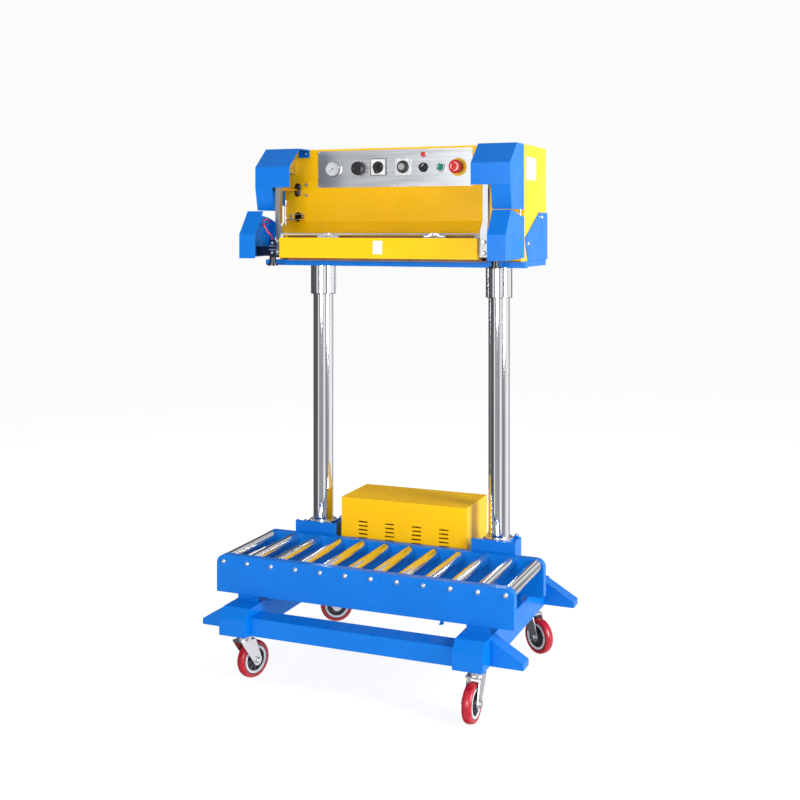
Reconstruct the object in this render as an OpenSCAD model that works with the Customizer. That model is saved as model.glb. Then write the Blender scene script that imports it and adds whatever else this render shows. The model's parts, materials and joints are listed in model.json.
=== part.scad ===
// Floor-standing pneumatic jaw sealer for heavy bags: a wheeled base with a roller
// table, two chromed columns and a height-adjustable sealing head.
// Millimetres. Origin on the floor under the middle of the machine, +Z up,
// operator's side is -Y, +X to the operator's right.

/* [Castors] */
// Diameter of a castor wheel
wheel_d = 125; // [100:1:150]
// Width of a castor wheel
wheel_w = 32; // [25:1:40]
// Height from the floor to the underside of the side legs
leg_z = 173; // [160:1:220]
// Offset from the swivel axis to the axle
castor_trail = 38; // [30:1:48]

/* [Base frame] */
// Length of a side leg, front to back
leg_len = 810; // [760:5:1000]
// Width of a side leg
leg_w = 100; // [86:1:120]
// Height of a side leg
leg_h = 88; // [70:1:110]
// Distance from the machine's middle to the centre line of a side leg
leg_x = 413.5; // [395:0.5:440]
// Distance from a leg's end to its castor's swivel axis
castor_inset = 84; // [75:1:100]
// Reach of an outrigger beyond its leg
outrigger_reach = 108; // [80:1:140]

/* [Roller table] */
// Length of the table beams, left to right
table_len = 1066; // [1000:2:1200]
// Clear depth between the two beam webs
table_inside = 343; // [300:1:420]
// Height of a table beam
beam_h = 128; // [100:1:150]
// Depth of a table beam's rim
beam_rim = 30; // [22:1:34]
// Height of the underside of the table above the floor
table_z = 283; // [275:1:320]
// Distance from the front of the legs to the front of the table
table_setback = 101; // [80:1:125]
// Diameter of a roller
roller_d = 42; // [32:1:52]
// Distance between rollers
roller_pitch = 92; // [84:1:96]
// Number of rollers
roller_n = 12; // [12:1:12]

/* [Columns] */
// Diameter of a column
column_d = 75; // [60:1:76]
// Distance from the machine's middle to a column's axis
column_x = 343.5; // [335:0.5:350]
// Distance from the front of the legs to the columns' axes
column_setback = 551; // [545:1:570]
// Height of the top of the columns, inside the hood
column_top = 1560; // [1500:5:1570]
// Outside diameter of a sleeve
sleeve_d = 94; // [88:1:98]
// Height of the bottom of the sleeves
sleeve_z = 1293; // [1250:1:1320]

/* [Cabinet] */
// Width of the transformer cabinet
cabinet_w = 485; // [400:1:500]
// Depth of the transformer cabinet
cabinet_d = 232; // [180:1:240]
// Height of the top of the cabinet
cabinet_top = 550; // [500:1:620]

/* [Head] */
// Height of the underside of the head tray
head_z = 1401; // [1390:1:1410]
// Width of the hood
hood_w = 922; // [910:2:940]
// Depth of the hood
hood_d = 283; // [260:1:320]
// Height of the top of the hood
hood_top = 1823; // [1815:1:1900]
// Distance from the columns' axes forward to the hood's front face
hood_overhang = 90; // [82:1:95]
// Thickness of the head's sheet metal
sheet_t = 2; // [1.5:0.1:2.5]

/* [Jaws] */
// Length of the jaws
jaw_len = 729; // [700:1:735]
// Height of the jaw guard
guard_h = 70; // [60:1:75]
// Angle through which the jaw swings to close
jaw_swing = 5; // [4:0.5:5.5]

/* [Controls] */
// Width of the control panel
panel_w = 597; // [580:1:600]
// Height of the control panel
panel_h = 133; // [128:1:136]
// Diameter of the emergency stop's head
stop_d = 48; // [36:1:52]
// Diameter of the push button
button_d = 26; // [20:1:28]
// Diameter of the regulator knob
regulator_d = 50; // [40:1:54]

/* [Fits] */
// Radial running clearance of shafts, pins and sleeves
run_fit = 0.06; // [0.02:0.01:0.09]

/* [Hidden] */
$fn = 48;
EPS = 0.01;

// Colours
blue = [0.02, 0.42, 0.86];
yellow = [0.98, 0.77, 0.05];
steel = [0.78, 0.79, 0.81];
chrome = [0.86, 0.87, 0.9];
dark = [0.09, 0.09, 0.1];
red = [0.78, 0.05, 0.1];

// Castors: resting directions of the four trails, degrees from +X
wheel_r = wheel_d / 2;
trail_fl = 71;
trail_fr = -90;
trail_rl = 31;
trail_rr = -32;
axle_r = 6;
fork_plate = 4;
fork_inner = wheel_w + 10;
fork_outer = fork_inner + 2 * fork_plate;
crown_gap = 9;
crown_t = 5;
crown_z = wheel_d + crown_gap;
swivel_r = 26;
top_plate_t = 5;
pad_t = 7;
top_plate_z = leg_z - pad_t - top_plate_t;
swivel_z = crown_z + crown_t;
swivel_h = top_plate_z - swivel_z - 0.4;
plate_long = 98;
plate_wide = 80;

// Base frame
overhang = castor_trail + wheel_r - castor_inset;
leg_front = -(leg_len - overhang) / 2;
leg_back = leg_front + leg_len;
leg_cut = 32;
leg_wall = 6;
castor_y_front = leg_front + castor_inset;
castor_y_rear = leg_back - castor_inset;
leg_top = leg_z + leg_h;
leg_in = leg_x - leg_w / 2;
leg_out = leg_x + leg_w / 2;
tie_h = 60;
tie_d = 80;
tie_setback = 28;
tie_front = leg_front + tie_setback;
tube_t = 4;
rig_depth = 58;
rig_front_y = leg_front + 72.5;
rig_rear_y = leg_front + 716.5;
rig_root_h = 84;
rig_tip_h = 20;
rig_t = 4;

// Roller table
table_front = leg_front + table_setback;
web_t = 4;
rim_t = 3.5;
front_web_back = table_front + web_t;
rear_web_front = front_web_back + table_inside;
beam_r = 30;
beam_foot_r = 5;
beam_top = table_z + beam_h;
roller_top_gap = 1.5;
roller_z = beam_top - roller_top_gap - roller_d / 2;
roller_gap = 3;
roller_y0 = table_front + beam_rim + roller_gap;
roller_y1 = rear_web_front - roller_gap;
roller_wall = 2;
shaft_r = 6;
shaft_head_r = 8;
shaft_head_h = 7;
lug_w = 78;
lug_d = 16;
lug_setback = 6;

// Columns, sockets and cabinet
column_r = column_d / 2;
column_y = leg_front + column_setback;
socket_w = 160;
socket_flange = 16;
socket_front = column_y - 71;
socket_top = 451;
socket_t = 6;
seat_w = 126;
seat_top = socket_top - 14;
collar_r = column_r + 14;
collar_h = 9;
cross_y0 = column_y - 40;
cross_y1 = column_y + 40;
rear_tie_y0 = leg_back - 110;
rear_tie_y1 = leg_back - 50;
cabinet_front = column_y - 56;
cabinet_z = leg_top + 2;
cabinet_wall = 2;
louvre_pitch_x = 104;
louvre_w = 36;
louvre_h = 5;
louvre_pitch_z = 14.7;
louvre_top = cabinet_top - 82;
louvre_n = 5;
gland_r = 6.5;
gland_len = 18;

// Head
sleeve_r = sleeve_d / 2;
sleeve_bore = column_r + run_fit;
tray_h = 20;
tray_top = head_z + tray_h;
sleeve_top = tray_top + 40;
hood_face = column_y - hood_overhang;
hood_back = hood_face + hood_d;
hood_x = hood_w / 2;
hood_z = tray_top + 1;
lip_z = 1560;
lip_reach = 37;
lip_low_z = 1523;
slot_x = 406;
slot_w = 28;
slot_h = 50;
slot_z = 1676;
low_slot_z = 1576;
tray_bar_front = hood_face - 89;
tray_bar_back = hood_face - 54;
tray_bar_x = 490;
air_x = -300;
air_z = 1500;
air_r = 5.7;
air_len = 12;

// Shoulder covers
sh_in = 336;
tab_in = 356;
sh_out = 472;
sh_narrow = 405;
sh_front = hood_face - 200;
sh_rear = hood_face - 40;
sh_ridge = hood_face - 121;
sh_top = 1820;
sh_fold_z = 1751;
sh_wide_z = 1679;
sh_low_z = 1598;
sh_low_y = hood_face - 183;

// Jaw mechanism
pivot_y = hood_face - 159;
pivot_z = 1760;
pivot_r = 8;
pin_y = pivot_y;
pin_z = slot_z;
pin_r = 5;
arm_in = 376;
arm_out = 394;
arm_front = hood_face - 195;
arm_back = hood_face - 175;
lever_in = 402;
lever_out = 410;
lever_slack = 1;
hanger_in = 413;
hanger_out = 421;
guard_front = hood_face - 219.5;
guard_z = 1432;
guard_top = guard_z + guard_h;
guard_t = 3;
guard_depth = 25;
jaw_x = jaw_len / 2;
rear_jaw_front = hood_face - 162.5;
rear_jaw_back = hood_face - 69;
rear_jaw_top = 1508;
pad_gap = 1;
bar_t = 20;
bar_z0 = 1440;
bar_z1 = 1494;
foot_out = 391;

// Lower covers
lc_in = 422;
lc_out = 484;
lc_top_y = hood_face - 233;
lc_top_z = 1595;
lc_fold_y = hood_face - 292;
lc_fold_z = 1513.5;
lc_low_z = 1430;
lc_rear_y = hood_face - 75;
lc_rear_top = 1572;
lc_rear_low = 1435;

// Panel and controls: centres across the panel
panel_left = -321;
panel_mid = panel_left + panel_w / 2;
panel_z = 1683;
panel_face = hood_face - sheet_t;
row_z = 1750;
gauge_x = -258;
regulator_x = -154;
cam_x = -79;
dial_x = 17;
selector_x = 94;
start_x = 158;
stop_x = 223;
stop_stem_r = 10;
lamp_z = 1796;

// ---------- helpers ----------

// Copy for the left and the right side
module both_sides() {
  children();
  mirror([1, 0, 0]) children();
}

// Plate whose outline lies in the YZ plane, from x0 to x1
module side_plate(x0, x1, points) {
  translate([x0, 0, 0])
    rotate([90, 0, 90])
      linear_extrude(x1 - x0) polygon(points);
}

// Plate whose outline lies in the XZ plane, from y0 to y1
module front_plate(y0, y1, points) {
  translate([0, y1, 0])
    rotate([90, 0, 0])
      linear_extrude(y1 - y0) polygon(points);
}

// Block given by its lowest and highest corners
module block(a, b) {
  translate(a) cube([b[0] - a[0], b[1] - a[1], b[2] - a[2]]);
}

// Cylinder along Y that starts at p
module rod_y(p, r, l) {
  translate(p) rotate([-90, 0, 0]) cylinder(r = r, h = l);
}

// Cylinder along X that starts at p
module rod_x(p, r, l) {
  translate(p) rotate([0, 90, 0]) cylinder(r = r, h = l);
}

// ---------- base frame ----------

// Cross-section of a side leg along its length, shrunk by w
module leg_outline(w) {
  polygon([[leg_front + w, leg_z - (w > 0 ? 1 : 0)],
           [leg_front + w, leg_top - leg_cut - w * 0.4],
           [leg_front + leg_cut + w * 0.4, leg_top - w],
           [leg_back - leg_cut - w * 0.4, leg_top - w],
           [leg_back - w, leg_top - leg_cut - w * 0.4],
           [leg_back - w, leg_z - (w > 0 ? 1 : 0)]]);
}

// Right side leg: an upside-down folded channel with two castor seats
module leg_body() {
  difference() {
    translate([leg_in, 0, 0]) rotate([90, 0, 90]) linear_extrude(leg_w) leg_outline(0);
    translate([leg_in + leg_wall, 0, 0])
      rotate([90, 0, 90]) linear_extrude(leg_w - 2 * leg_wall) leg_outline(leg_wall);
  }
  for (y = [castor_y_front, castor_y_rear])
    block([leg_in + leg_wall, y - plate_long / 2 - 6, leg_z],
          [leg_out - leg_wall, y + plate_long / 2 + 6, leg_z + leg_wall]);
}

// Triangular channel that braces a leg on its outer side, front edge at y
module outrigger(y) {
  tip = leg_out + outrigger_reach;
  outline = [[leg_out, leg_z], [tip, leg_z], [tip, leg_z + rig_tip_h],
             [leg_out, leg_z + rig_root_h]];
  slope = (rig_root_h - rig_tip_h) / outrigger_reach;
  difference() {
    front_plate(y, y + rig_depth, outline);
    front_plate(y + rig_t, y + rig_depth - rig_t,
                [[leg_out - 1, leg_z - 1], [tip - rig_t, leg_z - 1],
                 [tip - rig_t, leg_z + rig_tip_h - rig_t],
                 [leg_out - 1, leg_z + rig_root_h + slope - 1.2 * rig_t]]);
  }
}

module side_leg_right() {
  color(blue) {
    leg_body();
    outrigger(rig_front_y);
    outrigger(rig_rear_y);
  }
}

module side_leg_left() {
  mirror([1, 0, 0]) side_leg_right();
}

// Rectangular tube between the legs
module cross_tube(y0, y1, z1) {
  difference() {
    block([-leg_in, y0, leg_z], [leg_in, y1, z1]);
    block([-leg_in - 1, y0 + tube_t, leg_z + tube_t], [leg_in + 1, y1 - tube_t, z1 - tube_t]);
  }
}

module cross_tubes() {
  color(blue) {
    cross_tube(tie_front, tie_front + tie_d, leg_z + tie_h);
    cross_tube(cross_y0, cross_y1, leg_top);
    cross_tube(rear_tie_y0, rear_tie_y1, leg_z + tie_h);
  }
}

// ---------- castors ----------

module castor_at(side, y, angle) {
  translate([side * leg_x, y, 0]) rotate([0, 0, angle]) children();
}

module castor_plate() {
  hole_x = plate_wide / 2 - 12;
  hole_y = plate_long / 2 - 12;
  translate([-plate_wide / 2, -plate_long / 2, top_plate_z])
    cube([plate_wide, plate_long, top_plate_t]);
  translate([-plate_wide / 2 + 9, -plate_long / 2 + 9, top_plate_z + top_plate_t])
    cube([plate_wide - 18, plate_long - 18, pad_t]);
  for (sx = [-1, 1], sy = [-1, 1])
    translate([sx * hole_x, sy * hole_y, top_plate_z - 5]) cylinder(r = 7, h = 5, $fn = 6);
}

module castor_plates() {
  color(steel)
    for (s = [-1, 1], y = [castor_y_front, castor_y_rear])
      translate([s * leg_x, y, 0]) castor_plate();
}

// Fork that trails along +X
module castor_fork() {
  difference() {
    union() {
      translate([0, 0, swivel_z]) cylinder(r = swivel_r, h = swivel_h);
      translate([-32, -fork_outer / 2, crown_z]) cube([62, fork_outer, crown_t]);
      for (s = [-1, 1])
        translate([0, s * (fork_inner + fork_plate) / 2 + fork_plate / 2, 0])
          rotate([90, 0, 0])
            linear_extrude(fork_plate)
              union() {
                polygon([[-32, crown_z + EPS], [30, crown_z + EPS],
                         [castor_trail + 17, wheel_r + 5], [castor_trail - 17, wheel_r - 5]]);
                translate([castor_trail, wheel_r]) circle(r = 17.7);
              }
      translate([castor_trail, fork_outer / 2, wheel_r])
        rotate([90, 0, 0]) cylinder(r = axle_r, h = fork_outer);
      for (s = [-1, 1])
        translate([castor_trail, s * (fork_outer / 2 + 4.5) + 4.5, wheel_r])
          rotate([90, 0, 0]) cylinder(r = 9, h = 9, $fn = 6);
    }
  }
}

// Wheel with its axis along Y, centred on the axle of a fork
module castor_wheel() {
  rim_r = wheel_r - 13;
  half = wheel_w / 2;
  translate([castor_trail, 0, wheel_r]) rotate([90, 0, 0])
    rotate_extrude()
      union() {
        translate([axle_r + run_fit, -half - 3]) square([11, wheel_w + 6]);
        translate([axle_r + 5, -10]) square([rim_r - axle_r - 4, 20]);
        polygon([[rim_r, -half], [wheel_r - 7, -half], [wheel_r - 2.5, -half + 4],
                 [wheel_r, -half + 11], [wheel_r, half - 11], [wheel_r - 2.5, half - 4],
                 [wheel_r - 7, half], [rim_r, half]]);
      }
}

module fork_at(side, y, angle) {
  color(steel) castor_at(side, y, angle) castor_fork();
}

module wheel_at(side, y, angle) {
  color(red) castor_at(side, y, angle) castor_wheel();
}

module castor_fork_front_left() { fork_at(-1, castor_y_front, trail_fl); }
module castor_fork_front_right() { fork_at(1, castor_y_front, trail_fr); }
module castor_fork_rear_left() { fork_at(-1, castor_y_rear, trail_rl); }
module castor_fork_rear_right() { fork_at(1, castor_y_rear, trail_rr); }
module castor_wheel_front_left() { wheel_at(-1, castor_y_front, trail_fl); }
module castor_wheel_front_right() { wheel_at(1, castor_y_front, trail_fr); }
module castor_wheel_rear_left() { wheel_at(-1, castor_y_rear, trail_rl); }
module castor_wheel_rear_right() { wheel_at(1, castor_y_rear, trail_rr); }

// ---------- roller table ----------

// Outline of a beam: rounded upper corners, nearly square lower ones, shrunk by w
module beam_outline(w) {
  x = table_len / 2 - w;
  z0 = table_z + w;
  z1 = beam_top - w;
  r = beam_r - w;
  f = beam_foot_r - w * 0.8;
  translate([-x + f, z0]) square([2 * (x - f), z1 - z0 - r]);
  translate([-x, z0 + f]) square([2 * x, z1 - z0 - r - f]);
  translate([-x + r, z1 - r - EPS]) square([2 * (x - r), r + EPS]);
  for (s = [-1, 1]) {
    translate([s * (x - r), z1 - r]) circle(r = r);
    translate([s * (x - f), z0 + f]) circle(r = f);
  }
}

// Beam with its web at y and its rim towards +Y
module beam(y) {
  difference() {
    translate([0, y + beam_rim, 0]) rotate([90, 0, 0]) linear_extrude(beam_rim) beam_outline(0);
    translate([0, y + beam_rim + 1, 0])
      rotate([90, 0, 0]) linear_extrude(beam_rim + 1 - web_t) beam_outline(rim_t);
    for (i = [0 : roller_n - 1])
      rod_y([roller_x(i), y - 1, roller_z], shaft_r, web_t + 2);
  }
}

// Lugs that stand a beam on the legs
module beam_lugs(y) {
  for (s = [-1, 1])
    block([s * leg_x - lug_w / 2, y, leg_top], [s * leg_x + lug_w / 2, y + lug_d, table_z]);
}

function roller_x(i) = (i - (roller_n - 1) / 2) * roller_pitch;

module table_front_beam() {
  color(blue) {
    beam(table_front);
    beam_lugs(table_front + lug_setback);
  }
}

module table_rear_beam() {
  color(blue) {
    beam(rear_web_front);
    beam_lugs(rear_web_front + lug_setback);
  }
}

module roller_shafts() {
  back = rear_web_front + web_t;
  color(steel)
    for (i = [0 : roller_n - 1]) {
      rod_y([roller_x(i), table_front - 2, roller_z], shaft_r, back + 2 - table_front + 2);
      rod_y([roller_x(i), table_front - shaft_head_h, roller_z], shaft_head_r, shaft_head_h);
      rod_y([roller_x(i), back, roller_z], shaft_head_r, shaft_head_h);
    }
}

// Tube roller with an end cap and bearing at each end
module roller(i) {
  cap = 12;
  r = roller_d / 2;
  bore = shaft_r + run_fit;
  color(chrome)
    translate([roller_x(i), roller_y0, roller_z]) rotate([-90, 0, 0])
      rotate_extrude()
        union() {
          translate([r - roller_wall, 0]) square([roller_wall, roller_y1 - roller_y0]);
          translate([bore, 1]) square([r - bore - 1, cap]);
          translate([bore, roller_y1 - roller_y0 - 1 - cap]) square([r - bore - 1, cap]);
        }
}

module roller_01() { roller(0); }
module roller_02() { roller(1); }
module roller_03() { roller(2); }
module roller_04() { roller(3); }
module roller_05() { roller(4); }
module roller_06() { roller(5); }
module roller_07() { roller(6); }
module roller_08() { roller(7); }
module roller_09() { roller(8); }
module roller_10() { roller(9); }
module roller_11() { roller(10); }
module roller_12() { roller(11); }

// ---------- columns and cabinet ----------

module column_sockets() {
  x0 = column_x - socket_w / 2;
  x1 = column_x + socket_w / 2;
  seat0 = column_x - seat_w / 2;
  seat1 = column_x + seat_w / 2;
  seat_front = socket_front + socket_t - EPS;
  seat_back = column_y + seat_w / 2;
  color(blue) both_sides() {
    // front plate with its two side flanges
    difference() {
      block([x0, socket_front, leg_top], [x1, socket_front + socket_flange, socket_top]);
      block([x0 + socket_t, socket_front + socket_t, leg_top - 1],
            [x1 - socket_t, socket_front + socket_flange + 1, socket_top + 1]);
    }
    // hollow seat that holds the foot of the column
    difference() {
      block([seat0, seat_front, leg_top], [seat1, seat_back, seat_top]);
      block([seat0 + socket_t, seat_front + socket_t, leg_top + socket_t],
            [seat1 - socket_t, seat_back - socket_t, seat_top - socket_t]);
      translate([column_x, column_y, leg_top + socket_t]) cylinder(r = column_r + 0.01, h = 300);
    }
    difference() {
      translate([column_x, column_y, seat_top]) cylinder(r = collar_r, h = collar_h);
      translate([column_x, column_y, seat_top - 1])
        cylinder(r = column_r + 0.01, h = collar_h + 2);
    }
    for (sx = [-1, 1], sy = [-1, 1])
      translate([column_x + sx * (seat_w / 2 - 13), column_y + sy * (seat_w / 2 - 13), seat_top])
        cylinder(r = 9, h = 9, $fn = 6);
  }
}

module columns() {
  wall = 6;
  color(chrome) both_sides()
    translate([column_x, column_y, leg_top + socket_t])
      difference() {
        cylinder(r = column_r, h = column_top - leg_top - socket_t);
        translate([0, 0, -1]) cylinder(r = column_r - wall, h = column_top - leg_top);
      }
}

module cabinet_cover() {
  x = cabinet_w / 2;
  back = cabinet_front + cabinet_d;
  w = cabinet_wall;
  color(yellow) {
    difference() {
      block([-x, cabinet_front, cabinet_z], [x, back, cabinet_top]);
      block([-x + w, cabinet_front + w, cabinet_z + w], [x - w, back - w, cabinet_top - w]);
      for (i = [0 : 3], k = [0 : louvre_n - 1])
        block([(i - 1.5) * louvre_pitch_x - louvre_w / 2, cabinet_front - 1,
               louvre_top - louvre_h - k * louvre_pitch_z],
              [(i - 1.5) * louvre_pitch_x + louvre_w / 2, cabinet_front + w + 1,
               louvre_top - k * louvre_pitch_z]);
      rod_y([x - 60, back - w - 1, cabinet_z + 60], gland_r, w + 2);
    }
    difference() {
      rod_y([x - 60, back, cabinet_z + 60], gland_r + 6, gland_len - w);
      rod_y([x - 60, back - 1, cabinet_z + 60], gland_r, gland_len);
    }
  }
}

// Heating transformer on the cabinet floor: laminated core with two limbs and a winding
module cabinet_transformer() {
  z = cabinet_z + cabinet_wall;
  y = cabinet_front + cabinet_d / 2;
  color([0.35, 0.33, 0.32]) {
    block([-70, y - 28, z], [70, y + 28, z + 25]);
    block([-70, y - 28, z + 95], [70, y + 28, z + 120]);
    for (x = [-70, 45]) block([x, y - 28, z + 25], [x + 25, y + 28, z + 95]);
  }
  color([0.72, 0.42, 0.2]) block([-32, y - 50, z + 26], [32, y + 50, z + 94]);
}

// ---------- head ----------

module column_bores(z0, z1, r) {
  both_sides() translate([column_x, column_y, z0]) cylinder(r = r, h = z1 - z0);
}

module head_tray() {
  w = 3;
  color(blue)
    difference() {
      union() {
        block([-hood_x, tray_bar_back, head_z], [hood_x, hood_back, tray_top]);
        block([-tray_bar_x, tray_bar_front, head_z], [tray_bar_x, tray_bar_back, tray_top]);
      }
      block([-hood_x + w, tray_bar_back + w, head_z - 1], [hood_x - w, hood_back - w, tray_top - w]);
      column_bores(head_z - 1, tray_top + 1, sleeve_r);
    }
}

// Folded hood: front, top and two sides, open below and behind
module hood_shell() {
  w = sheet_t;
  color(yellow)
    difference() {
      union() {
        block([-hood_x, hood_face, hood_z], [hood_x, hood_back, hood_top]);
        side_plate(-hood_x, hood_x, [[hood_face + EPS, hood_z], [hood_face + EPS, lip_z],
                                     [hood_face, lip_z], [hood_face - lip_reach, lip_low_z],
                                     [hood_face - lip_reach, hood_z]]);
      }
      block([-hood_x + w, hood_face + w, hood_z - 1], [hood_x - w, hood_back + 1, hood_top - w]);
      side_plate(-hood_x + w, hood_x - w,
                 [[hood_face + w + 1, hood_z - 1], [hood_face + w + 1, lip_z - 1],
                  [hood_face + w, lip_z - 1], [hood_face - lip_reach + w, lip_low_z - 1],
                  [hood_face - lip_reach + w, hood_z - 1]]);
      both_sides() {
        face_slot(slot_x, slot_z, slot_w, slot_h);
        face_slot(slot_x - 2, low_slot_z, slot_w, 36);
      }
    }
}

// Upright slot through the hood's front face
module face_slot(x, z, w, h) {
  for (s = [-1, 1])
    rod_y([x, hood_face - 1, z + s * (h - w) / 2], w / 2, sheet_t + 2);
  block([x - w / 2, hood_face - 1, z - (h - w) / 2], [x + w / 2, hood_face + sheet_t + 1,
        z + (h - w) / 2]);
}

module hood_back_cover() {
  color(yellow)
    difference() {
      union() {
        block([-hood_x + sheet_t + 0.5, hood_back - sheet_t, hood_z + 2],
              [hood_x - sheet_t - 0.5, hood_back, hood_top - sheet_t - 0.5]);
        rod_y([air_x, hood_back - sheet_t, air_z], air_r + 5, air_len);
      }
      rod_y([air_x, hood_back - sheet_t - 1, air_z], air_r, air_len + 2);
    }
}

module column_sleeves() {
  color(chrome) both_sides()
    translate([column_x, column_y, 0])
      rotate_extrude()
        translate([sleeve_bore, sleeve_z]) square([sleeve_r - sleeve_bore, sleeve_top - sleeve_z]);
}

module side_brackets() {
  f = hood_face;
  color(blue) both_sides()
    difference() {
      side_plate(hood_x, hood_x + 3,
                 [[f + 9, 1503], [f + 184, 1591], [f + 285, 1591], [f + 293, 1584],
                  [f + 293, hood_z], [f + 40, hood_z], [f + 16, 1470]]);
      block([hood_x - 1, f + 217, 1482], [hood_x + 4, f + 221, 1561]);
    }
}

module control_panel() {
  color(steel)
    block([panel_left, panel_face, panel_z], [panel_left + panel_w, hood_face, panel_z + panel_h]);
}

// Folded cover over the upper end of a jaw arm, open below, behind and inside
module shoulder_cover_right() {
  w = sheet_t;
  color(blue) {
    // outer wall
    side_plate(sh_out - w, sh_out,
               [[sh_front, sh_fold_z], [sh_ridge, sh_top], [sh_rear, sh_top], [sh_rear, sh_low_z],
                [sh_low_y, sh_low_z], [sh_front, sh_wide_z]]);
    // wide front with the sloping top
    side_plate(sh_in, sh_out,
               [[sh_front, sh_wide_z], [sh_front, sh_fold_z], [sh_ridge, sh_top],
                [sh_rear, sh_top], [sh_rear, sh_top - w], [sh_ridge + 0.8, sh_top - w],
                [sh_front + w, sh_fold_z - 0.8], [sh_front + w, sh_wide_z]]);
    // narrow front, leaning back
    side_plate(sh_narrow, sh_out,
               [[sh_front, sh_wide_z + EPS], [sh_front + w, sh_wide_z + EPS],
                [sh_low_y + w, sh_low_z], [sh_low_y, sh_low_z]]);
    // roof strip and screwed tab back to the hood
    block([tab_in, sh_rear - 1, sh_top - w], [tab_in + 44, hood_face, sh_top]);
    block([tab_in, hood_face - w, sh_top - 26], [tab_in + 44, hood_face, sh_top]);
    // return flange behind the outer wall
    block([sh_out - 14, sh_rear - w, sh_low_z + 20], [sh_out, sh_rear, sh_top]);
    block([sh_out - 14, sh_rear - w, sh_low_z + 20], [sh_out - 12, hood_face, sh_top]);
  }
}

module shoulder_cover_left() {
  mirror([1, 0, 0]) shoulder_cover_right();
}

// Fixed jaw: box beam on the tray bar with a fabric-covered face
module rear_jaw() {
  w = 4;
  color([0.45, 0.27, 0.16])
    difference() {
      block([-jaw_x + 5, rear_jaw_front, tray_top], [jaw_x - 5, rear_jaw_back, rear_jaw_top]);
      block([-jaw_x, rear_jaw_front + 12, tray_top + w], [jaw_x, rear_jaw_back - w,
            rear_jaw_top - w]);
    }
}

// Plates fixed to the hood that carry the jaw's pivot pins
module jaw_hangers() {
  y1 = hood_face;
  color(steel) both_sides() {
    side_plate(hanger_in, hanger_out,
               [[y1, pivot_z - 25], [y1, pivot_z + 30], [pivot_y - 4, pivot_z + 15],
                [pivot_y - 14, pivot_z], [pivot_y - 4, pivot_z - 15]]);
    block([hanger_out, y1 - 5, pivot_z - 25], [hanger_out + 22, y1, pivot_z + 30]);
    rod_x([arm_in - 6, pivot_y, pivot_z], pivot_r, hanger_out - arm_in + 6);
    rod_x([arm_in - 11, pivot_y, pivot_z], pivot_r + 5, 5);
  }
}

module screw_y(x, y, z, r) {
  rod_y([x, y - r * 0.6, z], r, r * 0.6);
}

module head_screws() {
  color(steel) {
    for (x = [panel_left + 5, panel_mid, panel_left + panel_w - 5],
         z = [panel_z + 5, panel_z + panel_h - 6])
      screw_y(x, panel_face, z, 3);
    both_sides() {
      screw_y(366, hood_face, 1694, 5);
      screw_y(366, hood_face, 1656, 5);
      screw_y(tab_in + 14, hood_face - sheet_t, sh_top - 11, 4);
      rod_x([hood_x + 3, hood_face + 210, 1574], 6, 4);
      rod_x([hood_x + 3, hood_face + 36, 1482], 6, 4);
    }
  }
}

// Fixed bodies of the instruments: gauge case, switch plate, dial frame, collars and lamp
module instrument_bases() {
  f = panel_face;
  color(steel) {
    difference() {
      rod_y([gauge_x, f - 14, row_z], 28, 14);
      rod_y([gauge_x, f - 15, row_z], 24.5, 7);
    }
    rod_y([regulator_x, f - 5, row_z], regulator_d / 2 - 5, 5);
    block([cam_x - 29, f - 8, row_z - 25], [cam_x + 29, f, row_z + 33]);
    block([dial_x - 31, f - 4, row_z - 28], [dial_x + 31, f, row_z + 34]);
    rod_y([dial_x, f - 9, row_z + 3], 25, 5);
    rod_y([selector_x, f - 5, row_z], 17, 5);
    difference() {
      rod_y([start_x, f - 8, row_z], button_d / 2 + 5, 8);
      rod_y([start_x, f - 9, row_z], button_d / 2 + 0.4, 10);
    }
  }
  color([0.9, 0.75, 0.1])
    difference() {
      union() {
        rod_y([stop_x, f - 6, row_z - 1], 32, 6);
        rod_y([stop_x, f - 9, row_z - 1], 15, 4);
      }
      rod_y([stop_x, f - 10, row_z - 1], stop_stem_r + 0.4, 9);
    }
  color(red) rod_y([selector_x, f - 7, lamp_z], 8.5, 7);
}

module air_cylinders() {
  color(steel) both_sides()
    difference() {
      rod_y([slot_x, hood_face + 20, pin_z], 20, 130);
      rod_y([slot_x, hood_face + 19, pin_z], 6 + run_fit, 120);
    }
}

// ---------- moving jaw ----------

// Piston rod with its clevis, on the cylinder's axis
module cylinder_rods() {
  color([0.8, 0.6, 0.35]) both_sides() {
    rod_y([slot_x, pin_y + 22, pin_z], 6, hood_face + 110 - pin_y - 22);
    difference() {
      block([lever_in - 7, pin_y - 10, pin_z - 9], [lever_out + 7, pin_y + 24, pin_z + 9]);
      block([lever_in - 1.5, pin_y - 11, pin_z - 10], [lever_out + 1.5, pin_y + 14, pin_z + 10]);
    }
    rod_x([lever_in - 10, pin_y, pin_z], pin_r, lever_out - lever_in + 20);
  }
}

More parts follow.
